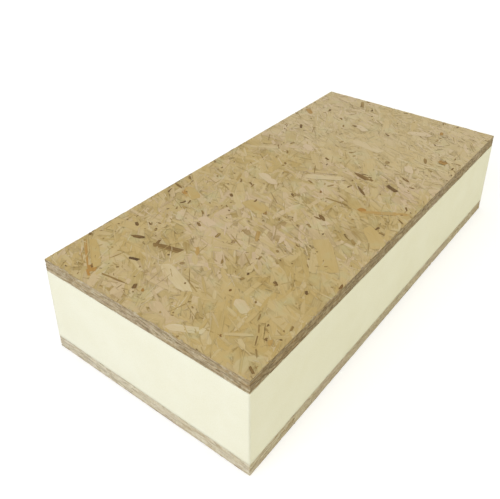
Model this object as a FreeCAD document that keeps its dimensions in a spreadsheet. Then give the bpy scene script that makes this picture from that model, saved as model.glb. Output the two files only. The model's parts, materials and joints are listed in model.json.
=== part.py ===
import FreeCAD, Part
import Sketcher
import os

# A short structural insulated panel, lying flat: a rigid foam core between two facings of
# oriented strand board, glued face to face and sawn flush along all four edges.
# The origin is the middle of the underside. +X runs along the length, +Y across the width
# and +Z up through the sandwich.

# The driving dimensions, in millimetres.
DRIVING_SIZES = {
    "panel_length": 560,
    "panel_width": 265,
    "core_thickness": 90,
    "skin_thickness": 15,  # a stock board, the same on both faces
}

# Ends of a line, as the sketcher's constraints number them, and the sketch's own origin.
START_POINT = 1
END_POINT = 2
SKETCH_ORIGIN = -1


def make_size_sheet(doc, sizes):
    """One row for each driving size: its name, and its value under an alias of that name."""
    sheet = doc.addObject("Spreadsheet::Sheet", "Sizes")
    for row, (name, value) in enumerate(sizes.items(), start=1):
        sheet.set(f"A{row}", name)
        sheet.set(f"B{row}", str(value))
        sheet.setAlias(f"B{row}", name)
    doc.recompute()
    return sheet


def origin_plane(body, role):
    """The body's own origin plane of that role."""
    return next(plane for plane in body.Origin.OriginFeatures if plane.Role == role)


def draw_centred_rectangle(sketch, length_source, width_source):
    """A closed rectangle about the sketch's origin, its two sizes driven by expressions."""
    half_side = 50  # only a starting shape: the constraints give the real one
    corners = [
        FreeCAD.Vector(-half_side, -half_side, 0),
        FreeCAD.Vector(half_side, -half_side, 0),
        FreeCAD.Vector(half_side, half_side, 0),
        FreeCAD.Vector(-half_side, half_side, 0),
    ]
    sides = []
    for start, end in zip(corners, corners[1:] + corners[:1]):
        sides.append(sketch.addGeometry(Part.LineSegment(start, end), False))
    front, right, back, left = sides

    for side, next_side in zip(sides, sides[1:] + sides[:1]):
        sketch.addConstraint(
            Sketcher.Constraint("Coincident", side, END_POINT, next_side, START_POINT)
        )
    for side in (front, back):
        sketch.addConstraint(Sketcher.Constraint("Horizontal", side))
    for side in (right, left):
        sketch.addConstraint(Sketcher.Constraint("Vertical", side))
    # opposite corners lie either side of the origin
    sketch.addConstraint(
        Sketcher.Constraint(
            "Symmetric", front, START_POINT, right, END_POINT, SKETCH_ORIGIN, START_POINT
        )
    )
    driven_sizes = (
        ("board_length", "DistanceX", front, length_source),
        ("board_width", "DistanceY", right, width_source),
    )
    for name, kind, side, source in driven_sizes:
        index = sketch.addConstraint(
            Sketcher.Constraint(kind, side, START_POINT, side, END_POINT, 2 * half_side)
        )
        sketch.renameConstraint(index, name)
        sketch.setExpression(f"Constraints.{name}", source)


def make_layer(doc, name, thickness_source, underside_source):
    """One layer of the sandwich: the panel's outline, padded upwards from its underside."""
    body = doc.addObject("PartDesign::Body", name)
    body.Label = name

    outline = body.newObject("Sketcher::SketchObject", f"{name}_outline")
    outline.AttachmentSupport = [(origin_plane(body, "XY_Plane"), "")]
    outline.MapMode = "FlatFace"
    draw_centred_rectangle(outline, "Sizes.panel_length", "Sizes.panel_width")

    pad = body.newObject("PartDesign::Pad", f"{name}_pad")
    pad.Profile = outline
    pad.setExpression("Length", thickness_source)

    body.setExpression("Placement.Base.z", underside_source)
    return body


def check_model(doc, bodies):
    """Stop before anything is written if a feature failed or a body has no sound solid."""
    for item in doc.Objects:
        if "Invalid" in item.State or "Error" in item.State:
            raise RuntimeError(f"{item.Name} did not compute: {item.State}")
    for body in bodies:
        if body.Shape.isNull() or not body.Shape.isValid():
            raise RuntimeError(f"{body.Label} has no valid shape")


def main():
    doc = FreeCAD.newDocument("structural_insulated_panel")
    make_size_sheet(doc, DRIVING_SIZES)

    # each layer's thickness, and where its underside lies: the layers touch face to face
    bodies = [
        make_layer(doc, "bottom_osb_skin", "Sizes.skin_thickness", "0 mm"),
        make_layer(doc, "foam_core", "Sizes.core_thickness", "Sizes.skin_thickness * 1 mm"),
        make_layer(
            doc,
            "top_osb_skin",
            "Sizes.skin_thickness",
            "(Sizes.skin_thickness + Sizes.core_thickness) * 1 mm",
        ),
    ]
    doc.recompute()
    check_model(doc, bodies)

    os.makedirs("parts", exist_ok=True)
    for body in bodies:
        body.Shape.exportStep(f"parts/{body.Label}.step")
        box = body.Shape.BoundBox
        print(f"{body.Label}: {box.XLength:.1f} x {box.YLength:.1f} x {box.ZLength:.1f} mm, "
              f"z {box.ZMin:.1f} to {box.ZMax:.1f}, {body.Shape.Volume / 1000:.0f} cm3")


main()
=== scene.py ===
import json
import math
import random

import bmesh
import bpy
from mathutils import Matrix, Vector

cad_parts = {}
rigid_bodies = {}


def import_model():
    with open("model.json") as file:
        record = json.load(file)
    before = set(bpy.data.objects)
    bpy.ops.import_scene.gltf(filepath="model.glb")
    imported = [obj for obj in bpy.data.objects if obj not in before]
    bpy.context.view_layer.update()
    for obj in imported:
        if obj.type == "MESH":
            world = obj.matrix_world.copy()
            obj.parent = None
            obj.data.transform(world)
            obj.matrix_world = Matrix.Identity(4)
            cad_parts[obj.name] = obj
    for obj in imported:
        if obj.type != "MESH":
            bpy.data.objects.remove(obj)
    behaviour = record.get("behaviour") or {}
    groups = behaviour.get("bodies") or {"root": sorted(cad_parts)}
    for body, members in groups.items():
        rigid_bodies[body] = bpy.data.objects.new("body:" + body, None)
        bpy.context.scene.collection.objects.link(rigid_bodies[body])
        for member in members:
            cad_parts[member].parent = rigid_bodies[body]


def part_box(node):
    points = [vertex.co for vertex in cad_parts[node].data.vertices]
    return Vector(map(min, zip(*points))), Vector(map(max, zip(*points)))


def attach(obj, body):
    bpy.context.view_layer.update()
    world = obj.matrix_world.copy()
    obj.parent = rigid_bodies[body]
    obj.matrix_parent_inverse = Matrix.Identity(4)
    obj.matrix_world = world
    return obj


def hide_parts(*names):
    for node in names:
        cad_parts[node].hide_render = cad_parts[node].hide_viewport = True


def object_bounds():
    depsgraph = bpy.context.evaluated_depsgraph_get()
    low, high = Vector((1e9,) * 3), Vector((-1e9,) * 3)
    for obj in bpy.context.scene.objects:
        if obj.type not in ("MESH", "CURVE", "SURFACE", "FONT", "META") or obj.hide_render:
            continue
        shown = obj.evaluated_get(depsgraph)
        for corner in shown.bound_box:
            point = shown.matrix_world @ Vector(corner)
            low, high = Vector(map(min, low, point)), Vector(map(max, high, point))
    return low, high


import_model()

mm = 0.001
cadBox = [list(corner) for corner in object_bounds()]
lowCorner, highCorner = (Vector(corner) for corner in cadBox)
boardLength = highCorner.x - lowCorner.x
boardWidth = highCorner.y - lowCorner.y


def fromHex(code):
    # sRGB hex to the linear colour that a shader wants
    channels = [int(code[i:i + 2], 16) / 255 for i in (1, 3, 5)]
    linear = [c / 12.92 if c <= 0.04045 else ((c + 0.055) / 1.055) ** 2.4 for c in channels]
    return (*linear, 1.0)


def addNode(tree, kind, values=None, **settings):
    # a node with its settings; values go to sockets by name or number: a number or colour is set,
    # another node's output is linked
    node = tree.nodes.new(kind)
    for name, value in settings.items():
        setattr(node, name, value)
    for key, value in (values or {}).items():
        if isinstance(value, bpy.types.NodeSocket):
            tree.links.new(value, node.inputs[key])
        else:
            node.inputs[key].default_value = value
    return node


def maths(tree, operation, *values):
    return addNode(tree, "ShaderNodeMath", dict(enumerate(values)), operation=operation).outputs[0]


def vectorMaths(tree, operation, *values):
    return addNode(tree, "ShaderNodeVectorMath", dict(enumerate(values)), operation=operation).outputs[0]


def axes(tree, vector):
    return addNode(tree, "ShaderNodeSeparateXYZ", {0: vector}).outputs


def vectorOf(tree, x=0.0, y=0.0, z=0.0):
    return addNode(tree, "ShaderNodeCombineXYZ", {"X": x, "Y": y, "Z": z}).outputs[0]


def mapRange(tree, value, low, high, newLow, newHigh, **settings):
    # what runs from low to high then runs from newLow to newHigh, and stops there
    return addNode(tree, "ShaderNodeMapRange", {
        "Value": value, "From Min": low, "From Max": high, "To Min": newLow, "To Max": newHigh},
        **settings).outputs["Result"]


def noise(tree, place, scale, detail, roughness):
    return addNode(tree, "ShaderNodeTexNoise", {
        "Vector": place, "Scale": scale, "Detail": detail, "Roughness": roughness}).outputs["Fac"]


def mixColours(tree, share, first, second):
    # sockets 6 and 7 are the node's two colours
    return addNode(tree, "ShaderNodeMix", {0: share, 6: first, 7: second}, data_type="RGBA").outputs[2]


def colourRamp(tree, factor, stops):
    ramp = addNode(tree, "ShaderNodeValToRGB", {"Fac": factor})
    elements = ramp.color_ramp.elements
    while len(elements) < len(stops):
        elements.new(0.5)
    for element, (place, code) in zip(elements, stops):
        element.position = place
        element.color = fromHex(code)
    return ramp.outputs["Color"]


def emptyMaterial(name):
    material = bpy.data.materials.new(name)
    material.use_nodes = True
    material.node_tree.nodes.clear()
    return material


def linkObject(name, mesh):
    piece = bpy.data.objects.new(name, mesh)
    bpy.context.scene.collection.objects.link(piece)
    return piece


def dropObject(piece):
    mesh = piece.data
    bpy.data.objects.remove(piece)
    if mesh.users == 0:
        bpy.data.meshes.remove(mesh)


# Pine strands pressed and bonded at the mill: dull, unsanded, each strand with its own tone and
# its grain running along it. The eye gets patches of straw, ochre and pinkish cream.
strandFace = {
    "name": "orientedStrandBoard",
    "tones": [(0.0, "#4d3717"), (0.12, "#72562a"), (0.26, "#977d48"), (0.40, "#af9b69"),
              (0.52, "#bba677"), (0.66, "#c1ae82"), (0.82, "#c9b994"), (1.0, "#d3c7ac")],
    "ochre": "#b89e62",
    "pinkish": "#c9b29c",
    "resin": "#a6762e",
    "ringPitch": 2.4,      # mm between growth rings
    "fibrePitch": 0.9,     # mm, coarser than real wood fibres so that it shows
    "stretch": 0.06,       # fibre width over fibre length
    "ringDepth": 0.08,
    "fibreDepth": 0.13,
    "patchDepth": 0.10,
    "cloudDepth": 0.12,
    "cloudSize": 21.0,     # mm
    "green": "#b2ab80",
    # painted sheen: the next colour is laid over the board's +X end, up to the share after it
    "pale": "#cfc1a2",
    "paintedSheenEnd": 0.32,
    # a strand's darker outline: partly its own edge colour, partly painted shade where it steps over the
    # strand below
    "rimShadeDepth": 0.22,      # how much darker a strand's outline is
    "rimShadeWidth": 1.3,       # mm at the most
    "roughness": (0.68, 0.86),
    "bump": 0.30,
}

# The same strands seen where a saw went through them: greyer, streaked along the layers.
strandEdge = {
    "name": "sawnStrandBoardEdge",
    "tones": [(0.0, "#4f412c"), (0.15, "#7f6f52"), (0.35, "#9d8c6e"), (0.55, "#b3a486"),
              (0.75, "#cbc1a7"), (1.0, "#e3decb")],
    "ochre": "#a98a58",
    "pinkish": "#b9a294",
    "resin": "#a5673a",
    "ringPitch": 1.6,
    "fibrePitch": 0.7,
    "stretch": 0.36,
    "ringDepth": 0.12,
    "fibreDepth": 0.14,
    "patchDepth": 0.06,
    "cloudDepth": 0.26,
    "cloudSize": 3.2,
    "green": "#b3ab90",
    # painted sheen on the board's +X end, as on the face; here its share is nothing
    "pale": "#cfc1a2",
    "paintedSheenEnd": 0.0,
    # a chip's darker outline: partly its own edge colour, partly painted shade between the layers
    "rimShadeDepth": 0.18,
    "rimShadeWidth": 0.22,
    "roughness": (0.75, 0.92),
    "bump": 0.35,
}


def strandMaterial(look):
    material = emptyMaterial(look["name"])
    tree = material.node_tree
    tone, warmth, number = (addNode(tree, "ShaderNodeAttribute", attribute_name=name).outputs["Fac"]
                            for name in ("tone", "warmth", "strandNumber"))
    size = addNode(tree, "ShaderNodeAttribute", attribute_name="strandSize").outputs["Vector"]
    unit = addNode(tree, "ShaderNodeUVMap", uv_map="strandMap").outputs["UV"]

    # place on the strand in mm from its middle: x along the grain, y across it
    place = vectorMaths(tree, "MULTIPLY", unit, size)
    along = axes(tree, place)
    woodPlace = vectorOf(tree, along["X"], along["Y"], maths(tree, "MULTIPLY", number, 17.31))

    # fibres drawn out along the grain, and growth rings: slow bands that wander along it
    fibreSpace, ringSpace = (addNode(tree, "ShaderNodeMapping", {
        "Vector": woodPlace, "Scale": (look["stretch"] / pitch, 1 / pitch, 1.0)}).outputs[0]
        for pitch in (look["fibrePitch"], look["ringPitch"]))
    fibre = noise(tree, fibreSpace, 0.6, 3.0, 0.6)
    rings = noise(tree, ringSpace, 0.45, 1.0, 0.4)
    # patches over the whole board, some 60 mm across, and smaller clouds
    objectPlace = addNode(tree, "ShaderNodeTexCoord").outputs["Object"]
    patches = noise(tree, objectPlace, 16.0, 2.0, 0.5)
    clouds = noise(tree, objectPlace, 1 / (look["cloudSize"] * mm), 2.0, 0.55)
    total = tone
    for source, title in ((clouds, "cloudDepth"), (fibre, "fibreDepth"),
                          (rings, "ringDepth"), (patches, "patchDepth")):
        depth = look[title]
        total = maths(tree, "ADD", total, mapRange(tree, source, 0.3, 0.7, -depth / 2, depth / 2))
    tinted = colourRamp(tree, total, look["tones"])

    # warmth: 0 pinkish, 0.5 plain, 1 ochre, 1.5 soaked in resin; it drifts in patches
    drift = addNode(tree, "ShaderNodeTexNoise", {
        "Vector": objectPlace, "Scale": 11.0, "Detail": 1.0, "Roughness": 0.4, "W": 3.7},
        noise_dimensions="4D").outputs["Fac"]
    drifted = maths(tree, "ADD", warmth, mapRange(tree, drift, 0.32, 0.68, -0.26, 0.26))
    # the clouds turn greenish in places, and the board's +X end is painted paler: a painted sheen, as from
    # light behind it
    paintedSheenShare = mapRange(tree, axes(tree, objectPlace)["X"], 0.04, 0.15, 0.0, look["paintedSheenEnd"],
                        interpolation_type="SMOOTHSTEP")
    # bark and other dark bits keep their own colour
    tintable = mapRange(tree, tone, 0.18, 0.38, 0.0, 1.0)
    for tint, share in (("ochre", mapRange(tree, drifted, 0.5, 1.0, 0.0, 0.75)),
                        ("pinkish", mapRange(tree, drifted, 0.5, 0.0, 0.0, 0.6)),
                        ("green", mapRange(tree, clouds, 0.54, 0.72, 0.0, 0.5)),
                        # the pale colour over the +X end is painted sheen
                        ("pale", paintedSheenShare)):
        tinted = mixColours(tree, maths(tree, "MULTIPLY", share, tintable), tinted, fromHex(look[tint]))
    resinShare = mapRange(tree, warmth, 1.0, 1.5, 0.0, 0.9)
    tinted = mixColours(tree, resinShare, tinted, fromHex(look["resin"]))

    # a strand's outline: distance to its nearest long or short side, in mm
    halves = vectorMaths(tree, "MULTIPLY", size, (0.5, 0.5, 0.5))
    sides = axes(tree, vectorMaths(tree, "SUBTRACT", halves, vectorMaths(tree, "ABSOLUTE", place)))
    nearest = maths(tree, "MINIMUM", sides["X"], sides["Y"])
    reach = mapRange(tree, rings, 0.38, 0.62, 0.1, look["rimShadeWidth"])
    # the outline darkened: partly the strand's own edge colour, partly painted shade of its step
    rim = mapRange(tree, nearest, 0.0, reach, 1 - look["rimShadeDepth"], 1.0)

    low, high = look["roughness"]
    relief = addNode(tree, "ShaderNodeBump", {
        "Strength": look["bump"], "Distance": 0.15 * mm, "Height": fibre})
    shader = addNode(tree, "ShaderNodeBsdfPrincipled", {
        "Base Color": vectorMaths(tree, "MULTIPLY", tinted, rim),
        "Roughness": mapRange(tree, fibre, 0.3, 0.7, high, low),
        "IOR": 1.48, "Normal": relief.outputs[0]})
    addNode(tree, "ShaderNodeOutputMaterial", {"Surface": shader.outputs[0]})
    return material


# Rigid polyurethane foam, cut by a bandsaw: closed cells too small to see, a matt, creamy,
# slightly yellow face with faint cloudiness from the rise of the foam.
foamLook = {
    "name": "rigidPolyurethaneFoam",
    "cream": "#f1f1e1",
    "shade": "#ecebd7",
    "cloud": 45.0,         # mm across the cloudy patches
    "cell": 1.1,           # mm, coarser than the real 0.3 mm cells so that they show
    "roughness": 0.88,
}


def foamMaterial(look):
    material = emptyMaterial(look["name"])
    tree = material.node_tree
    place = addNode(tree, "ShaderNodeTexCoord").outputs["Object"]
    cloud = noise(tree, place, 1 / (look["cloud"] * mm), 3.0, 0.55)
    cells = addNode(tree, "ShaderNodeTexVoronoi", {
        "Vector": place, "Scale": 1 / (look["cell"] * mm)}, feature="F1").outputs["Distance"]
    mixed = maths(tree, "ADD", cloud, mapRange(tree, cells, 0.0, 0.9, -0.25, 0.25))
    colour = mixColours(tree, mapRange(tree, mixed, 0.3, 0.8, 0.0, 1.0),
                        fromHex(look["cream"]), fromHex(look["shade"]))
    relief = addNode(tree, "ShaderNodeBump", {"Strength": 0.25, "Distance": 0.1 * mm, "Height": cells})
    shader = addNode(tree, "ShaderNodeBsdfPrincipled", {
        "Base Color": colour, "Roughness": look["roughness"], "IOR": 1.45,
        "Normal": relief.outputs[0]})
    addNode(tree, "ShaderNodeOutputMaterial", {"Surface": shader.outputs[0]})
    return material


def flakeShape(name, rng, stations, ragged, bow, waver):
    # one unit long, wide and thick, lying on XY with its top near z = 0: wavy sides and torn ends;
    # no underside, and walls that lean in below so that they still have width from above
    bm = bmesh.new()
    rows = []
    lean = rng.uniform(-0.10, 0.10)
    slimStart, slimEnd = rng.uniform(0.15, 0.95), rng.uniform(0.15, 0.95)
    for i in range(stations):
        t = i / (stations - 1)
        x = t - 0.5
        taper = min(1.0, slimStart + 3.2 * t, slimEnd + 3.2 * (1 - t))
        half = 0.5 * taper * rng.uniform(1 - waver, 1.0)
        middle = bow * (1 - (2 * x) ** 2) + lean * x
        row = []
        for side in (-1, 0, 1):
            end = 0.0
            if i in (0, stations - 1):
                end = rng.uniform(0.0, ragged) * (1 if i == 0 else -1)
            z = rng.uniform(-0.12, 0.0) - 0.15 * abs(side)
            row.append(Vector((x + end, max(-0.5, min(0.5, middle + side * half)), z)))
        rows.append(row)
    tops = [[bm.verts.new(p) for p in row] for row in rows]
    unders = [[bm.verts.new((row[k].x * 0.98, row[k].y * 0.90, -1)) for k in (0, 2)] for row in rows]
    for i in range(stations - 1):
        (a, b, c), (d, e, f) = tops[i], tops[i + 1]
        (p, q), (r, s) = unders[i], unders[i + 1]
        for corners in ((a, d, e, b), (b, e, f, c), (a, p, r, d), (c, f, s, q)):
            bm.faces.new(corners)
    for top, under, flip in ((tops[0], unders[0], False), (tops[-1], unders[-1], True)):
        corners = [top[0], top[1], top[2], under[1], under[0]]
        bm.faces.new(corners[::-1] if flip else corners)
    uv = bm.loops.layers.uv.new("strandMap")
    for face in bm.faces:
        for loop in face.loops:
            loop[uv].uv = loop.vert.co.xy
    mesh = bpy.data.meshes.new(name)
    bm.to_mesh(mesh)
    bm.free()
    return bpy.data.objects.new(name, mesh)


def chipShape(name, rng, stations):
    # a strand cut through, seen on the board's sawn edge: one unit long (X), deep (-Y) and thick (Z);
    # it narrows inwards and has no back
    bm = bmesh.new()
    rings = []
    tilt = rng.uniform(-0.35, 0.35)
    sag = rng.uniform(-0.5, 0.5)
    for i in range(stations):
        t = i / (stations - 1)
        x = t - 0.5
        full = 0.5 * max(0.22, min(1.0, 4 * t + 0.2, 4 * (1 - t) + 0.2)) * rng.uniform(0.85, 1.0)
        z = tilt * x * 2 + sag * (0.25 - x * x) * 2
        front = rng.uniform(-0.06, 0.0)
        back, backHalf = 0.97 * x, 0.7 * full
        rings.append([bm.verts.new(place) for place in (
            (x, front, z - full), (x, front, z + full), (back, -1, z + backHalf), (back, -1, z - backHalf))])
    for i in range(stations - 1):
        for j in (0, 1, 3):
            k = (j + 1) % 4
            bm.faces.new((rings[i][j], rings[i][k], rings[i + 1][k], rings[i + 1][j]))
    bm.faces.new(rings[0][::-1])
    bm.faces.new(rings[-1])
    uv = bm.loops.layers.uv.new("strandMap")
    for face in bm.faces:
        for loop in face.loops:
            place = loop.vert.co
            loop[uv].uv = (place.x, max(-0.5, min(0.5, place.z)))
    mesh = bpy.data.meshes.new(name)
    bm.to_mesh(mesh)
    bm.free()
    return bpy.data.objects.new(name, mesh)


def shapeCollection(name, shapes):
    group = bpy.data.collections.new(name)
    for shape in shapes:
        group.objects.link(shape)
    return group


def dropCollection(group):
    for shape in list(group.objects):
        dropObject(shape)
    bpy.data.collections.remove(group)


def newTree(name, inputs):
    tree = bpy.data.node_groups.new(name, "GeometryNodeTree")
    tree.interface.new_socket("Geometry", in_out="INPUT", socket_type="NodeSocketGeometry")
    for title, (kind, value) in inputs.items():
        socket = tree.interface.new_socket(title, in_out="INPUT", socket_type="NodeSocket" + kind)
        if value is not None:
            socket.default_value = value
    tree.interface.new_socket("Geometry", in_out="OUTPUT", socket_type="NodeSocketGeometry")
    return tree


def clampTo(tree, value, limit, inset):
    # value held within the limit less the inset, on both sides of zero
    edge = maths(tree, "SUBTRACT", limit, inset)
    return maths(tree, "MAXIMUM", maths(tree, "MINIMUM", value, edge), maths(tree, "MULTIPLY", edge, -1.0))


def isPast(tree, value, limit, inset):
    # 1 where the value lies past the limit less the inset, on either side of zero
    edge = maths(tree, "SUBTRACT", limit, inset)
    return maths(tree, "GREATER_THAN", maths(tree, "ABSOLUTE", value), edge)


def namedValue(tree, name, kind="FLOAT"):
    node = addNode(tree, "GeometryNodeInputNamedAttribute", {"Name": name}, data_type=kind)
    return node.outputs["Attribute"]


def storeValue(tree, geometry, name, value, kind="FLOAT", domain="POINT"):
    node = addNode(tree, "GeometryNodeStoreNamedAttribute", {
        "Geometry": geometry, "Name": name, "Value": value}, data_type=kind, domain=domain)
    return node.outputs["Geometry"]


def randomBetween(tree, low, high, seed):
    node = addNode(tree, "FunctionNodeRandomValue", {2: low, 3: high, "Seed": seed}, data_type="FLOAT")
    return node.outputs[1]


def pointPlace(tree):
    return axes(tree, addNode(tree, "GeometryNodeInputPosition").outputs[0])


def moveTo(tree, geometry, place):
    return addNode(tree, "GeometryNodeSetPosition", {"Geometry": geometry, "Position": place}).outputs[0]


def layShapes(tree, given, points, scale, mostInset):
    # on each point a shape picked at random, turned and scaled as the point says, as real mesh
    shapes = addNode(tree, "GeometryNodeCollectionInfo", {
        "Collection": given["Shapes"], "Separate Children": True, "Reset Children": True})
    pick = addNode(tree, "FunctionNodeRandomValue", {4: 0, 5: 1000, "Seed": 51}, data_type="INT")
    laid = addNode(tree, "GeometryNodeInstanceOnPoints", {
        "Points": points, "Instance": shapes.outputs[0], "Pick Instance": True,
        "Instance Index": pick.outputs[2], "Rotation": vectorOf(tree, z=namedValue(tree, "turn")),
        "Scale": vectorMaths(tree, "MULTIPLY", scale, (mm, mm, mm))}).outputs[0]
    index = addNode(tree, "GeometryNodeInputIndex").outputs[0]
    laid = storeValue(tree, laid, "strandNumber", index, "INT", "INSTANCE")
    inset = randomBetween(tree, 0.0, mostInset, 61)
    laid = storeValue(tree, laid, "inset", inset, "FLOAT", "INSTANCE")
    return addNode(tree, "GeometryNodeRealizeInstances", {"Geometry": laid}).outputs[0]


def finishTree(tree, geometry, material):
    # faces that were wholly off the board go, as do those that the trimming left with no area, and
    # the rest gets its material
    area = addNode(tree, "GeometryNodeInputMeshFaceArea").outputs[0]
    gone = maths(tree, "MAXIMUM", maths(tree, "LESS_THAN", area, 1e-9),
                 maths(tree, "GREATER_THAN", namedValue(tree, "off"), 0.99))
    kept = addNode(tree, "GeometryNodeDeleteGeometry", {"Geometry": geometry, "Selection": gone},
                   domain="FACE")
    dressed = addNode(tree, "GeometryNodeSetMaterial", {"Geometry": kept.outputs[0], "Material": material})
    addNode(tree, "NodeGroupOutput", {0: dressed.outputs[0]})


def strandTree():
    # strands scattered flat over a board, each a copy of one of the shapes; the modified mesh's own points
    # add listed strands, which carry the same named attributes
    tree = newTree("layStrands", {
        "Board length": ("Float", 0.6), "Board width": ("Float", 0.3), "Overhang": ("Float", 0.015),
        "Strands per square metre": ("Float", 1000.0),
        "Length low": ("Float", 40.0), "Length high": ("Float", 60.0),
        "Width low": ("Float", 8.0), "Width high": ("Float", 16.0),
        "Thickness": ("Float", 0.3), "Turn": ("Float", 1.3), "Turn spread": ("Float", 0.6),
        "Tone low": ("Float", 0.4), "Tone high": ("Float", 0.8),
        "Warmth low": ("Float", 0.3), "Warmth high": ("Float", 0.8),
        "Depth": ("Float", 0.0003), "Depth spread": ("Float", 0.0003),
        "Seed": ("Int", 1), "Shapes": ("Collection", None), "Material": ("Material", None)})
    given = addNode(tree, "NodeGroupInput").outputs
    # strands also start off the board's edges, and are trimmed to it below
    spread = [maths(tree, "MULTIPLY_ADD", given["Overhang"], 2.0, given[side])
              for side in ("Board length", "Board width")]
    field = addNode(tree, "GeometryNodeMeshGrid", {
        "Size X": spread[0], "Size Y": spread[1], "Vertices X": 2, "Vertices Y": 2})
    points = addNode(tree, "GeometryNodeDistributePointsOnFaces", {
        "Mesh": field.outputs["Mesh"], "Density": given["Strands per square metre"],
        "Seed": given["Seed"]}, distribute_method="RANDOM").outputs["Points"]

    size = vectorOf(tree, randomBetween(tree, given["Length low"], given["Length high"], 11),
                    randomBetween(tree, given["Width low"], given["Width high"], 12), given["Thickness"])
    points = storeValue(tree, points, "strandSize", size, "FLOAT_VECTOR")
    # three draws added up lean towards the middle, as laid strands do
    swing = [randomBetween(tree, -1.0, 1.0, 21 + i) for i in range(3)]
    swung = maths(tree, "ADD", maths(tree, "ADD", swing[0], swing[1]), swing[2])
    turn = maths(tree, "MULTIPLY_ADD", swung, given["Turn spread"], given["Turn"])
    points = storeValue(tree, points, "turn", turn)
    for name, title, seed in (("tone", "Tone", 31), ("warmth", "Warmth", 32)):
        draw = randomBetween(tree, given[title + " low"], given[title + " high"], seed)
        points = storeValue(tree, points, name, draw)
    lift = randomBetween(tree, 0.0, 1.0, 41)
    depth = maths(tree, "MULTIPLY_ADD", lift, given["Depth spread"], given["Depth"])
    points = storeValue(tree, points, "depth", depth)

    marks = addNode(tree, "GeometryNodeMeshToPoints", {"Mesh": given["Geometry"]})
    allPoints = addNode(tree, "GeometryNodeJoinGeometry")
    for source in (points, marks.outputs["Points"]):
        tree.links.new(source, allPoints.inputs[0])

    # a strand that would reach less than a fifth of its half length on to the board is left out
    heading = namedValue(tree, "turn")
    strandSize = namedValue(tree, "strandSize", "FLOAT_VECTOR")
    reach, spot = axes(tree, strandSize), pointPlace(tree)
    over = []
    for axis, side, waves in (("X", "Board length", ("COSINE", "SINE")),
                              ("Y", "Board width", ("SINE", "COSINE"))):
        spans = [maths(tree, "MULTIPLY", maths(tree, "ABSOLUTE", maths(tree, wave, heading)), reach[extent])
                 for wave, extent in zip(waves, "XY")]
        rim = maths(tree, "MULTIPLY", given[side], 0.5)
        limit = maths(tree, "MULTIPLY_ADD", maths(tree, "ADD", *spans), 0.4 * mm, rim)
        over.append(maths(tree, "GREATER_THAN", maths(tree, "ABSOLUTE", spot[axis]), limit))
    onBoard = addNode(tree, "GeometryNodeDeleteGeometry", {
        "Geometry": allPoints.outputs[0], "Selection": maths(tree, "MAXIMUM", *over)}, domain="POINT")
    real = layShapes(tree, given, onBoard.outputs[0], strandSize, 0.25 * mm)

    # trimmed flush with the board, and set at each strand's own depth
    here, inset = pointPlace(tree), namedValue(tree, "inset")
    halves = {axis: maths(tree, "MULTIPLY", given[side], 0.5)
              for axis, side in (("X", "Board length"), ("Y", "Board width"))}
    past = [isPast(tree, here[axis], half, inset) for axis, half in halves.items()]
    real = storeValue(tree, real, "off", maths(tree, "MAXIMUM", *past))
    held = [clampTo(tree, here[axis], half, inset) for axis, half in halves.items()]
    sunk = maths(tree, "SUBTRACT", here["Z"], namedValue(tree, "depth"))
    finishTree(tree, moveTo(tree, real, vectorOf(tree, *held, sunk)), given["Material"])
    return tree


def chipTree():
    # cut strand ends stacked in layers over upright faces, standing a hair in or out of them
    tree = newTree("layEdgeChips", {
        "Board length": ("Float", 0.6), "Board width": ("Float", 0.3),
        "Board thickness": ("Float", 0.015), "Chips per square metre": ("Float", 90000.0),
        "Length low": ("Float", 8.0), "Length high": ("Float", 30.0),
        "Thickness low": ("Float", 0.8), "Thickness high": ("Float", 1.5), "Depth": ("Float", 1.2),
        "Layer": ("Float", 0.00085), "Unevenness": ("Float", 0.00035),
        "Tone low": ("Float", 0.3), "Tone high": ("Float", 0.7), "Long side tone": ("Float", -0.1),
        "Warmth low": ("Float", 0.3), "Warmth high": ("Float", 0.7),
        "Seed": ("Int", 1), "Shapes": ("Collection", None), "Material": ("Material", None)})
    given = addNode(tree, "NodeGroupInput").outputs
    scatter = addNode(tree, "GeometryNodeDistributePointsOnFaces", {
        "Mesh": given["Geometry"], "Density": given["Chips per square metre"],
        "Seed": given["Seed"]}, distribute_method="RANDOM")
    points = scatter.outputs["Points"]
    outward = axes(tree, scatter.outputs["Normal"])

    size = vectorOf(tree, randomBetween(tree, given["Length low"], given["Length high"], 11),
                    randomBetween(tree, given["Thickness low"], given["Thickness high"], 12),
                    given["Depth"])
    points = storeValue(tree, points, "strandSize", size, "FLOAT_VECTOR")
    # the outward normal's heading, less a quarter turn, sets a chip's Y outwards
    heading = maths(tree, "ARCTAN2", outward["Y"], outward["X"])
    points = storeValue(tree, points, "turn", maths(tree, "SUBTRACT", heading, math.pi / 2))
    isLongSide = maths(tree, "ABSOLUTE", outward["Y"])
    draw = randomBetween(tree, given["Tone low"], given["Tone high"], 31)
    tone = maths(tree, "MULTIPLY_ADD", isLongSide, given["Long side tone"], draw)
    points = storeValue(tree, points, "tone", tone)
    points = storeValue(tree, points, "warmth",
                        randomBetween(tree, given["Warmth low"], given["Warmth high"], 32))

    # each chip goes to the nearest layer, then off it by a little
    spot = pointPlace(tree)
    level = maths(tree, "ADD", maths(tree, "SNAP", spot["Z"], given["Layer"]),
                  randomBetween(tree, -0.2 * mm, 0.2 * mm, 42))
    points = moveTo(tree, points, vectorOf(tree, spot["X"], spot["Y"], level))
    sizes = axes(tree, namedValue(tree, "strandSize", "FLOAT_VECTOR"))
    real = layShapes(tree, given, points, vectorOf(tree, sizes["X"], sizes["Z"], sizes["Y"]),
                     given["Unevenness"])

    here, inset = pointPlace(tree), namedValue(tree, "inset")
    halves = [maths(tree, "MULTIPLY", given[side], 0.5)
              for side in ("Board length", "Board width", "Board thickness")]
    real = storeValue(tree, real, "off", isPast(tree, here["Z"], halves[2], 0.0))
    held = [clampTo(tree, here[axis], half, inset) for axis, half in zip("XYZ", halves)]
    finishTree(tree, moveTo(tree, real, vectorOf(tree, *held)), given["Material"])
    return tree


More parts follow.
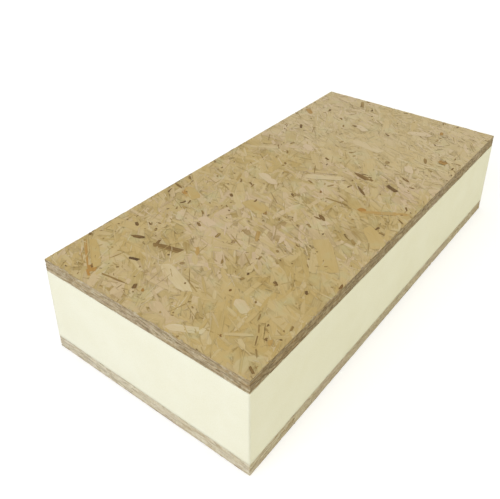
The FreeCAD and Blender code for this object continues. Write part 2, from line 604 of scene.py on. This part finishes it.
def grow(name, base, tree, inputs):
    # runs a tree on a mesh and returns the result as a plain mesh object
    holder = linkObject(name, base)
    modifier = holder.modifiers.new("lay", "NODES")
    modifier.node_group = tree
    sockets = {item.name: item.identifier for item in tree.interface.items_tree
               if item.item_type == "SOCKET" and item.in_out == "INPUT"}
    for title, value in inputs.items():
        modifier[sockets[title]] = value
    evaluated = holder.evaluated_get(bpy.context.evaluated_depsgraph_get())
    mesh = bpy.data.meshes.new_from_object(evaluated)
    dropObject(holder)
    return linkObject(name, mesh)


# What each layer of strands is like, lowest first. Lengths, widths and thickness in mm, turns in
# radians from the panel's length, tones and warmth on the scales of the strand material, and depths
# in m under the face.
bedStrands = {
    "Strands per square metre": 3800.0,
    "Length low": 45.0, "Length high": 75.0,
    "Width low": 14.0, "Width high": 24.0,
    "Thickness": 0.4, "Turn": math.radians(62), "Turn spread": math.radians(40),
    "Tone low": 0.34, "Tone high": 0.50,
    "Warmth low": 0.35, "Warmth high": 0.75,
    "Depth": 0.46 * mm, "Depth spread": 0.12 * mm,
    "Seed": 3,
}
bigStrands = {
    "Strands per square metre": 4600.0,
    "Length low": 24.0, "Length high": 60.0,
    "Width low": 5.0, "Width high": 15.0,
    "Thickness": 0.4, "Turn": math.radians(58), "Turn spread": math.radians(34),
    "Tone low": 0.40, "Tone high": 0.66,
    "Warmth low": 0.20, "Warmth high": 0.80,
    "Depth": 0.12 * mm, "Depth spread": 0.30 * mm,
    "Seed": 7,
}
smallStrands = {
    "Strands per square metre": 8000.0,
    "Length low": 9.0, "Length high": 32.0,
    "Width low": 2.0, "Width high": 7.0,
    "Thickness": 0.3, "Turn": math.radians(52), "Turn spread": math.radians(30),
    "Tone low": 0.36, "Tone high": 0.70,
    "Warmth low": 0.16, "Warmth high": 0.84,
    "Depth": 0.05 * mm, "Depth spread": 0.24 * mm,
    "Seed": 19,
}
slivers = {
    "Strands per square metre": 6000.0,
    "Length low": 8.0, "Length high": 30.0,
    "Width low": 0.7, "Width high": 2.0,
    "Thickness": 0.25, "Turn": math.radians(46), "Turn spread": math.radians(26),
    "Tone low": 0.26, "Tone high": 0.84,
    "Warmth low": 0.30, "Warmth high": 0.90,
    "Depth": 0.02 * mm, "Depth spread": 0.16 * mm,
    "Seed": 23,
}
splinters = {
    "Strands per square metre": 6800.0,
    "Length low": 3.0, "Length high": 10.0,
    "Width low": 0.6, "Width high": 1.8,
    "Thickness": 0.2, "Turn": math.radians(50), "Turn spread": math.radians(40),
    "Tone low": 0.24, "Tone high": 0.80,
    "Warmth low": 0.20, "Warmth high": 0.90,
    "Depth": 0.01 * mm, "Depth spread": 0.10 * mm,
    "Seed": 29,
}
# dark flakes: partly bark, partly painted shade that stands for pits and voids between strands
barkAndPitShadeBits = {
    "Strands per square metre": 420.0,
    "Length low": 4.5, "Length high": 12.0,
    "Width low": 2.2, "Width high": 5.0,
    "Thickness": 0.25, "Turn": math.radians(45), "Turn spread": math.radians(34),
    "Tone low": 0.06, "Tone high": 0.26,
    "Warmth low": 0.35, "Warmth high": 0.80,
    "Depth": 0.0, "Depth spread": 0.04 * mm,
    "Seed": 31,
}
# dark specks: partly bark, partly painted shade of small pits and voids
specksAndPitShade = {
    "Strands per square metre": 1500.0,
    "Length low": 1.5, "Length high": 4.5,
    "Width low": 1.0, "Width high": 2.8,
    "Thickness": 0.2, "Turn": math.radians(45), "Turn spread": math.radians(60),
    "Tone low": 0.08, "Tone high": 0.32,
    "Warmth low": 0.35, "Warmth high": 0.90,
    "Depth": 0.0, "Depth spread": 0.04 * mm,
    "Seed": 37,
}
edgeChips = {
    "Chips per square metre": 105000.0,
    "Length low": 4.0, "Length high": 19.0,
    "Thickness low": 0.8, "Thickness high": 2.1, "Depth": 1.2,
    "Layer": 0.95 * mm, "Unevenness": 0.22 * mm,
    "Warmth low": 0.25, "Warmth high": 0.70,
}


# Strands and marks that catch the eye on the upper face, listed one by one: x and y in mm from the middle,
# length, width, turn in degrees, tone, warmth. Broad ones first, the fine ones lie on them.
broadMarks = [
    # pale and pinkish strands
    (-9, 48, 37, 12, 68, 0.78, 0.10), (36, -5, 55, 12, 120, 0.76, 0.58), (-220, 6, 58, 15, 70, 0.80, 0.60),
    (-267, -51, 42, 10, 116, 0.76, 0.30), (143, -8, 55, 16, 80, 0.67, 0.20),
    (92, 54, 24, 12, 65, 0.67, 0.05), (-127, 46, 26, 13, 80, 0.67, 0.10),
    (-214, -72, 26, 13, 65, 0.70, 0.10), (188, 26, 26, 12, 60, 0.72, 0.10),
    (221, -47, 40, 13, 110, 0.70, 0.10), (120, -80, 22, 12, 30, 0.69, 0.05),
    (-134, 79, 24, 10, 30, 0.70, 0.20),
    # straw, olive and ochre strands
    (87, -42, 72, 18, 30, 0.62, 0.80), (106, 93, 40, 16, 30, 0.42, 0.80),
    (-101, -92, 60, 22, 40, 0.50, 0.85), (-42, -117, 50, 20, 40, 0.60, 0.85),
    (241, -30, 40, 9, 20, 0.46, 0.92), (260, -38, 30, 8, 22, 0.66, 0.65), (-70, 20, 36, 22, 75, 0.50, 0.95),
    (-243, 98, 56, 11, 53, 0.47, 0.98), (-92, 100, 38, 15, 60, 0.48, 1.06),
]
fineMarks = [
    # resin: knots, and the streaks that run from them
    (-245, 108, 62, 1.8, 52, 0.46, 1.36), (-249, 105, 58, 1.4, 54, 0.42, 1.34),
    (-240, 107, 50, 1.2, 50, 0.50, 1.24), (-255, 104, 40, 1.2, 57, 0.54, 1.20),
    (-260, 83, 14, 11, 50, 0.30, 1.36), (-267, 80, 12, 3, 60, 0.36, 1.45),
    (-258, 85, 8, 4.5, 50, 0.12, 1.00), (-93, 103, 20, 13, 40, 0.46, 1.16),
    (-95, 107, 13, 9, 70, 0.24, 1.36), (-94, 106, 7, 4, 70, 0.10, 1.00), (9, -104, 60, 8, 121, 0.46, 1.20),
    (-1, -79, 12, 8, 110, 0.28, 1.46), (5, -96, 40, 2.4, 121, 0.36, 1.34),
    (193, 118, 22, 8, 50, 0.24, 1.22), (162, -107, 12, 9, 80, 0.20, 1.25),
    (163, -106, 7, 4, 80, 0.10, 1.00), (241, -72, 11, 6, 20, 0.22, 1.22), (-175, 18, 18, 6, 45, 0.40, 1.20),
    (-115, -16, 22, 5, 30, 0.30, 1.16), (-253, 18, 6, 5, 40, 0.18, 1.30), (-28, 79, 20, 4, 20, 0.30, 1.00),
    (-73, 5, 8, 5, 40, 0.18, 1.10), (-70, 22, 30, 9, 75, 0.48, 1.08), (-235, -120, 9, 6, 30, 0.40, 1.20),
    # dark strands
    (-190, 46, 37, 9, 104, 0.18, 0.60), (-194, 86, 19, 6, 112, 0.08, 0.55),
    (-224, 60, 13, 4.5, 105, 0.03, 0.60), (67, -44, 34, 10, 80, 0.16, 0.60),
    (63, -85, 19, 7, 68, 0.10, 0.40), (36, -58, 25, 4.5, 50, 0.10, 0.75), (-42, -51, 17, 5, 55, 0.08, 0.45),
    (-3, -47, 34, 3, 93, 0.22, 0.70), (-258, 53, 40, 2.6, 98, 0.20, 0.65),
    (-115, -2, 16, 8, 50, 0.24, 0.35), (119, -50, 9, 7, 60, 0.24, 0.40), (263, 67, 23, 6, 25, 0.22, 0.80),
    (-89, 124, 17, 3.5, 75, 0.14, 0.60), (153, -87, 18, 4.5, 25, 0.20, 0.80),
    (92, -89, 14, 4.5, 65, 0.18, 0.40), (-252, -118, 13, 1.5, 42, 0.22, 0.60),
    (-240, -109, 14, 1.4, 27, 0.18, 0.60), (-227, -102, 12, 1.7, 36, 0.24, 0.60),
    (-215, -93, 11, 2.0, 22, 0.20, 0.55), (-224, -108, 9, 2.2, 64, 0.26, 0.55),
    (-269, -126, 9, 3, 60, 0.12, 0.50),
]
# dark flakes, one by one: partly bark, partly painted shade of pits and voids
barkAndPitShadeMarks = [
    (-245, 94, 7, 4, 40, 0.06, 0.55), (-178, 104, 9, 5, 55, 0.14, 0.85), (-168, 93, 8, 4, 75, 0.08, 0.55),
    (-162, 86, 7, 3, 100, 0.16, 0.50), (-173, 80, 6, 3.5, 30, 0.12, 0.55),
    (-137, 49, 10, 4, 65, 0.12, 0.50), (-103, 125, 10, 3, 15, 0.12, 0.55),
    (-74, 117, 11, 3.5, 22, 0.14, 0.50), (-66, 127, 9, 3, 50, 0.18, 0.50), (-127, 92, 7, 3, 30, 0.16, 0.60),
    (-109, 89, 10, 3, 20, 0.14, 0.70), (-32, 58, 10, 4, 60, 0.12, 0.50), (-34, 53, 8, 3, 10, 0.18, 0.50),
    (4, 78, 8, 3.5, 30, 0.14, 0.60), (141, 99, 14, 4.5, 35, 0.08, 0.60), (214, 96, 9, 4.5, 15, 0.12, 0.50),
    (71, 89, 9, 2.5, 40, 0.16, 0.60), (253, 45, 8, 3, 20, 0.14, 0.60), (80, -103, 8, 5, 80, 0.18, 0.50),
    (168, -122, 14, 3, 100, 0.18, 0.80), (218, -75, 8, 5, 20, 0.22, 0.40), (154, -124, 9, 3, 5, 0.10, 0.50),
    (181, -116, 8, 3, 10, 0.08, 0.50), (31, -119, 10, 3, 30, 0.14, 0.50), (272, -61, 7, 4, 20, 0.14, 0.50),
    (-202, -49, 4, 3, 30, 0.04, 1.20), (-254, -81, 4, 3, 20, 0.04, 1.20),
    (-133, -130, 9, 4, 10, 0.06, 1.10), (-172, -47, 4, 2.5, 20, 0.06, 0.90), (4, -20, 8, 4, 35, 0.08, 1.15),
    (-144, -41, 8, 3, 10, 0.18, 0.60), (179, 51, 9, 3, 25, 0.18, 0.80),
]


def markPoints(marks):
    # the listed strands as loose points that carry what the strand tree reads
    mesh = bpy.data.meshes.new("markedStrands")
    mesh.from_pydata([(x * mm, y * mm, 0) for x, y, *rest in marks], [], [])
    columns = {
        "turn": [math.radians(mark[4]) for mark in marks],
        "tone": [mark[5] for mark in marks],
        "warmth": [mark[6] for mark in marks],
        # near the surface, each a little above the one before it
        "depth": [(0.06 - 0.0007 * i) * mm for i in range(len(marks))],
    }
    for name, values in columns.items():
        mesh.attributes.new(name, "FLOAT", "POINT").data.foreach_set("value", values)
    sizes = [value for mark in marks for value in (mark[2], mark[3], 0.3)]
    mesh.attributes.new("strandSize", "FLOAT_VECTOR", "POINT").data.foreach_set("vector", sizes)
    return mesh


def backingSlab(name, halfSize, gapShadeTone, sideTone):
    # the board's body under its strands, seen only through the gaps between them; each face has its own
    # corners, so that it keeps its own tone. Its broad faces stand for the strands below, toned darker as
    # painted shade in the gaps
    x, y, z = halfSize
    corners = [(sx * x, sy * y, sz * z) for sz in (-1, 1) for sy in (-1, 1) for sx in (-1, 1)]
    faces = ((0, 2, 3, 1), (4, 5, 7, 6), (0, 1, 5, 4), (2, 6, 7, 3), (0, 4, 6, 2), (1, 3, 7, 5))
    points = [corners[i] for face in faces for i in face]
    mesh = bpy.data.meshes.new(name)
    mesh.from_pydata(points, [], [tuple(range(4 * i, 4 * i + 4)) for i in range(6)])
    uv = mesh.uv_layers.new(name="strandMap")
    for loop in mesh.loops:
        px, py, pz = points[loop.vertex_index]
        upright = loop.vertex_index >= 8
        uv.data[loop.index].uv = (px / (2 * x) + py / (2 * y) if upright else px / (2 * x),
                                  pz / (2 * z) if upright else py / (2 * y))
    tones = [gapShadeTone] * 8 + [sideTone] * 16
    for attribute, values in (("tone", tones), ("warmth", [0.5] * 24)):
        mesh.attributes.new(attribute, "FLOAT", "POINT").data.foreach_set("value", values)
    sizes = [2 * x / mm, 2 * y / mm, 1.0] * 8 + [2 * x / mm, 2 * z / mm, 1.0] * 16
    mesh.attributes.new("strandSize", "FLOAT_VECTOR", "POINT").data.foreach_set("vector", sizes)
    mesh.materials.append(faceMaterial)
    mesh.materials.append(edgeMaterial)
    for face in mesh.polygons:
        face.material_index = 0 if face.index < 2 else 1
    return linkObject(name, mesh)


def edgeFaces(halfSize):
    # the four upright faces of a board, facing outwards, for the chips to be laid on
    x, y, z = halfSize
    mesh = bpy.data.meshes.new("edgeFaces")
    ring = [(-x, -y), (x, -y), (x, y), (-x, y)]
    points = [(px, py, level) for level in (-z, z) for px, py in ring]
    faces = [(i, (i + 1) % 4, (i + 1) % 4 + 4, i + 4) for i in range(4)]
    mesh.from_pydata(points, [], faces)
    return mesh


def joinPieces(name, pieces):
    with bpy.context.temp_override(active_object=pieces[0], selected_editable_objects=pieces):
        bpy.ops.object.join()
    pieces[0].name = name
    pieces[0].data.name = name
    return pieces[0]


def bakeMap(mesh, half):
    # a map for a facing about its own middle: the strands as seen from above, the four edges as seen
    # from outside in strips below them; faces drawn from the deepest up, so that the top one counts
    bm = bmesh.new()
    bm.from_mesh(mesh)
    uv = bm.loops.layers.uv.new("OFBake")
    depths = {}
    for face in bm.faces:
        place, normal = face.calc_center_median(), face.normal
        toEnd, toSide = half[0] - abs(place.x), half[1] - abs(place.y)
        toTop = half[2] - place.z
        isEdge = toTop > 1.1 * mm or abs(normal.z) < 0.5 and min(toEnd, toSide) < 0.7 * mm
        depths[face.index] = min(toEnd, toSide) if isEdge else toTop
        for loop in face.loops:
            x, y, z = loop.vert.co
            along, across, up = x / half[0] / 2 + 0.5, y / half[1] / 2 + 0.5, z / half[2] / 2 + 0.5
            if not isEdge:
                spot = (along, 0.17 + 0.83 * across)
            elif normal.z < -0.9 and min(toEnd, toSide) > 5 * mm:
                spot = (along, 0.155 + 0.008 * across)
            elif toEnd < toSide:
                start = 0.0 if place.x < 0 else 0.51
                spot = (start + 0.48 * across, 0.102 + 0.045 * up)
            else:
                start = 0.002 if place.y < 0 else 0.052
                spot = (along, start + 0.045 * up)
            loop[uv].uv = (0.002 + 0.996 * spot[0], 0.002 + 0.996 * spot[1])
    bm.faces.sort(key=lambda face: -depths[face.index])
    bm.to_mesh(mesh)
    bm.free()


def makeFacing(name, node, outwards, marks, edgeTones, seedShift):
    # a facing built about its own middle with its strands on +Z, then turned and moved to its node
    low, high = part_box(node)
    thickness = high.z - low.z
    half = (boardLength / 2, boardWidth / 2, thickness / 2)
    board = {"Board length": boardLength, "Board width": boardWidth}
    lidDepth = 0.8 * mm        # the backing's face lies this far under the strands
    sideDepth = 0.5 * mm
    # the backing's face tone, 0.36, lies at the dark end of the strands' tones: partly the strands below,
    # partly painted shade in the gaps
    slab = backingSlab(name + "Backing", (half[0] - sideDepth, half[1] - sideDepth, half[2] - lidDepth / 2),
                       0.36, edgeTones["Tone low"])
    slab.data.transform(Matrix.Translation((0, 0, -lidDepth / 2)))
    parts = [slab]
    byHand = {"Strands per square metre": 0.0}
    layers = [("Bed", bedStrands, plainShapes, []), ("Big", bigStrands, bigShapes, []),
              ("Small", smallStrands, smallShapes, []), ("Slivers", slivers, plainShapes, []),
              ("Splinters", splinters, plainShapes, []),
              # the bark bits and specks are partly bark, partly painted shade of pits and voids
              ("Bark", barkAndPitShadeBits, barkShapes, []), ("Specks", specksAndPitShade, barkShapes, [])]
    layers += [("Marks" + title, byHand, shapes, placed) for title, shapes, placed in marks]
    for title, layer, shapes, placed in layers:
        laid = grow(name + title, markPoints(placed), layStrands, {
            **board, "Overhang": 0.3 * mm * layer.get("Length high", 0.0), **layer,
            "Seed": layer.get("Seed", 0) + seedShift, "Shapes": shapes, "Material": faceMaterial})
        laid.data.transform(Matrix.Translation((0, 0, half[2])))
        parts.append(laid)
    parts.append(grow(name + "Edges", edgeFaces(half), layEdgeChips, {
        **board, "Board thickness": thickness, **edgeChips, **edgeTones,
        "Seed": 5 + seedShift, "Shapes": chipShapes, "Material": edgeMaterial}))
    facing = joinPieces(name, parts)
    for spare in ("depth", "inset", "turn", "off", "id"):
        found = facing.data.attributes.get(spare)
        if found:
            facing.data.attributes.remove(found)
    bakeMap(facing.data, half)
    turned = Matrix.Rotation(math.pi if outwards < 0 else 0, 4, "X")
    facing.data.transform(Matrix.Translation((low + high) / 2) @ turned)
    facing.data.update()
    triangles = sum(len(face.vertices) - 2 for face in facing.data.polygons)
    print(name, "has", len(facing.data.polygons), "faces,", triangles, "triangles")
    return facing


faceMaterial = strandMaterial(strandFace)
edgeMaterial = strandMaterial(strandEdge)
rng = random.Random(4)
bigShapes = shapeCollection("bigShapes", [
    flakeShape(f"bigShape{i}", rng, 5, 0.14, rng.uniform(-0.12, 0.12), 0.16) for i in range(16)])
smallShapes = shapeCollection("smallShapes", [
    flakeShape(f"smallShape{i}", rng, 4, 0.16, rng.uniform(-0.14, 0.14), 0.25) for i in range(12)])
plainShapes = shapeCollection("plainShapes", [
    flakeShape(f"plainShape{i}", rng, 3, 0.16, rng.uniform(-0.20, 0.20), 0.15) for i in range(12)])
barkShapes = shapeCollection("barkShapes", [
    flakeShape(f"barkShape{i}", rng, 5, 0.20, rng.uniform(-0.25, 0.25), 0.65) for i in range(14)])
chipShapes = shapeCollection("chipShapes", [chipShape(f"chipShape{i}", rng, 4) for i in range(12)])
layStrands = strandTree()
layEdgeChips = chipTree()
print("strand shapes and trees ready")

topFacing = makeFacing("topFacing", "top_osb_skin", 1,
                       [("Broad", bigShapes, broadMarks), ("Fine", smallShapes, fineMarks),
                        # the dark marks are partly bark, partly painted shade of pits and voids
                        ("Bark", barkShapes, barkAndPitShadeMarks)],
                       {"Tone low": 0.42, "Tone high": 0.66, "Long side tone": -0.19}, 0)
bottomFacing = makeFacing("bottomFacing", "bottom_osb_skin", -1, [],
                          {"Tone low": 0.80, "Tone high": 1.0, "Long side tone": -0.15}, 100)
for group in (bigShapes, smallShapes, plainShapes, barkShapes, chipShapes):
    dropCollection(group)


foamCut = {
    "step": 2.5,           # mm between the points of the sawn faces
    "ripple": 0.03,        # mm, the saw's marks
    "ripplePitch": 9.0,    # mm
    "tremble": 0.03,       # mm, cut cells
    "pits": 90,
    "pitDepth": 0.35,      # mm
    "seed": 12,
}


def makeFoamCore(cut):
    low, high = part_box("foam_core")
    rng = random.Random(cut["seed"])
    bm = bmesh.new()
    step = cut["step"] * mm
    counts = [max(2, round((high[i] - low[i]) / step)) for i in range(3)]
    ring = [(x, 0) for x in range(counts[0])] + [(counts[0], y) for y in range(counts[1])]
    ring += [(counts[0] - x, counts[1]) for x in range(counts[0])]
    ring += [(0, counts[1] - y) for y in range(counts[1])]
    levels = []
    for k in range(counts[2] + 1):
        row = []
        for i, j in ring:
            place = Vector((low.x + (high.x - low.x) * i / counts[0],
                            low.y + (high.y - low.y) * j / counts[1],
                            low.z + (high.z - low.z) * k / counts[2]))
            onCorner = i in (0, counts[0]) and j in (0, counts[1])
            if not onCorner and k not in (0, counts[2]):
                inward = Vector((1 if i == 0 else -1 if i == counts[0] else 0,
                                 1 if j == 0 else -1 if j == counts[1] else 0, 0))
                alongFace = place.x if j in (0, counts[1]) else place.y
                wave = 0.5 + 0.5 * math.sin(2 * math.pi * alongFace / (cut["ripplePitch"] * mm)
                                            + 3 * place.z / 0.1)
                depth = cut["ripple"] * wave + cut["tremble"] * rng.random()
                if rng.random() < cut["pits"] / (len(ring) * counts[2]):
                    depth += cut["pitDepth"] * rng.uniform(0.5, 1.0)
                place += inward * depth * mm
            row.append(bm.verts.new(place))
        levels.append(row)
    count = len(ring)
    for lower, upper in zip(levels, levels[1:]):
        for i in range(count):
            bm.faces.new((lower[i], lower[(i + 1) % count], upper[(i + 1) % count], upper[i]))
    bm.faces.new(levels[0][::-1])
    bm.faces.new(levels[-1])
    mesh = bpy.data.meshes.new("foamBlock")
    bm.to_mesh(mesh)
    bm.free()
    mesh.materials.append(foamMaterial(foamLook))
    for face in mesh.polygons:
        face.use_smooth = abs(face.normal.z) < 0.5
    return linkObject("foamBlock", mesh)


foamBlock = makeFoamCore(foamCut)
print("foam core has", len(foamBlock.data.polygons), "faces")

for piece, node, slot in ((topFacing, "top_osb_skin", "osb_facing"),
                          (bottomFacing, "bottom_osb_skin", "osb_facing"),
                          (foamBlock, "foam_core", "rigid_foam")):
    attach(piece, "root")
    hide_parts(node)


studio = {
    "worldLight": 0.60,
    "worldColour": "#fffefa",
    "floorSize": 14.0,          # m
    "floorGrey": 0.80,          # what the floor throws back on to the panel
    "floorShadow": 0.55,        # how much of the floor's white gives way to the shadow
}
# each lamp: where it stands in m from the panel's middle, its size in m, watts and colour
lamps = {
    "keyLamp": ((-2.6, 0.2, 1.7), 2.2, 38.0, "#fffefc"),
    "frontLamp": ((0.6, -2.8, 1.6), 2.2, 19.0, "#fff08e"),
    "topLamp": ((0.3, 0.3, 3.0), 2.5, 12.0, "#ffffff"),
}
cameraSetting = {
    "place": (-0.5699, -0.3565, 0.5227),   # m
    "heading": 37.65,                      # degrees from +X towards +Y
    "lookDown": 29.92,                     # degrees below the horizon
    "lens": 46.41,                         # mm on a 36 mm sensor
    "shiftY": -0.149,
}


def seenShare(tree):
    # 1 for rays from the camera, mirrors and glass, 0 for the light that reaches the panel
    path = addNode(tree, "ShaderNodeLightPath").outputs
    mirrored = maths(tree, "MAXIMUM", path["Is Camera Ray"], path["Is Glossy Ray"])
    return maths(tree, "MAXIMUM", mirrored, path["Is Transmission Ray"])


def makeStudio():
    world = bpy.data.worlds.new("studioWorld")
    world.use_nodes = True
    tree = world.node_tree
    tree.nodes.clear()
    light = addNode(tree, "ShaderNodeBackground", {
        "Color": fromHex(studio["worldColour"]), "Strength": studio["worldLight"]})
    seen = addNode(tree, "ShaderNodeBackground", {"Color": (1, 1, 1, 1), "Strength": 1.0})
    mix = addNode(tree, "ShaderNodeMixShader", {0: seenShare(tree), 1: light.outputs[0], 2: seen.outputs[0]})
    addNode(tree, "ShaderNodeOutputWorld", {"Surface": mix.outputs[0]})
    bpy.context.scene.world = world

    paint = emptyMaterial("whiteFloorPaint")
    tree = paint.node_tree
    grey = studio["floorGrey"]
    plain = addNode(tree, "ShaderNodeBsdfDiffuse", {"Color": (grey, grey, grey, 1)})
    # what the camera sees: part lit white, which darkens in the shadow, and part steady white
    part = studio["floorShadow"]
    lit = addNode(tree, "ShaderNodeBsdfDiffuse", {"Color": (part, part, part, 1)})
    # the lamps leave the floor duller away from the panel, so the steady part rises there
    away = addNode(tree, "ShaderNodeVectorMath", {
        0: addNode(tree, "ShaderNodeTexCoord").outputs["Object"]}, operation="LENGTH")
    strength = mapRange(tree, away.outputs["Value"], 0.6, 2.5, 1.12 - part, 1.0,
                        interpolation_type="SMOOTHSTEP")
    steady = addNode(tree, "ShaderNodeEmission", {"Color": (1, 1, 1, 1), "Strength": strength})
    both = addNode(tree, "ShaderNodeAddShader", {0: lit.outputs[0], 1: steady.outputs[0]})
    mix = addNode(tree, "ShaderNodeMixShader", {0: seenShare(tree), 1: plain.outputs[0], 2: both.outputs[0]})
    addNode(tree, "ShaderNodeOutputMaterial", {"Surface": mix.outputs[0]})

    half = studio["floorSize"] / 2
    mesh = bpy.data.meshes.new("studioFloor")
    mesh.from_pydata([(-half, -half, 0), (half, -half, 0), (half, half, 0), (-half, half, 0)], [],
                     [(0, 1, 2, 3)])
    mesh.materials.append(paint)
    floor = linkObject("studioFloor", mesh)
    floor.location.z = lowCorner.z - 0.2 * mm

    middle = (lowCorner + highCorner) / 2
    for name, (offset, size, watts, colour) in lamps.items():
        lamp = bpy.data.lights.new(name, "AREA")
        lamp.shape = "DISK"
        lamp.size = size
        lamp.energy = watts
        lamp.color = fromHex(colour)[:3]
        holder = bpy.data.objects.new(name, lamp)
        holder.location = middle + Vector(offset)
        holder.rotation_euler = (-Vector(offset)).to_track_quat("-Z", "Y").to_euler()
        holder.visible_camera = False
        bpy.context.scene.collection.objects.link(holder)


def makeCamera():
    camera = bpy.data.cameras.new("camera")
    camera.lens = cameraSetting["lens"]
    camera.sensor_width = 36.0
    camera.shift_y = cameraSetting["shiftY"]
    camera.clip_start = 0.01
    holder = bpy.data.objects.new("camera", camera)
    holder.location = cameraSetting["place"]
    holder.rotation_euler = (math.radians(90 - cameraSetting["lookDown"]), 0,
                             math.radians(cameraSetting["heading"] - 90))
    bpy.context.scene.collection.objects.link(holder)
    bpy.context.scene.camera = holder


makeStudio()
makeCamera()
bpy.context.scene.view_settings.view_transform = "Standard"
print("studio and camera ready")

bpy.context.view_layer.update()
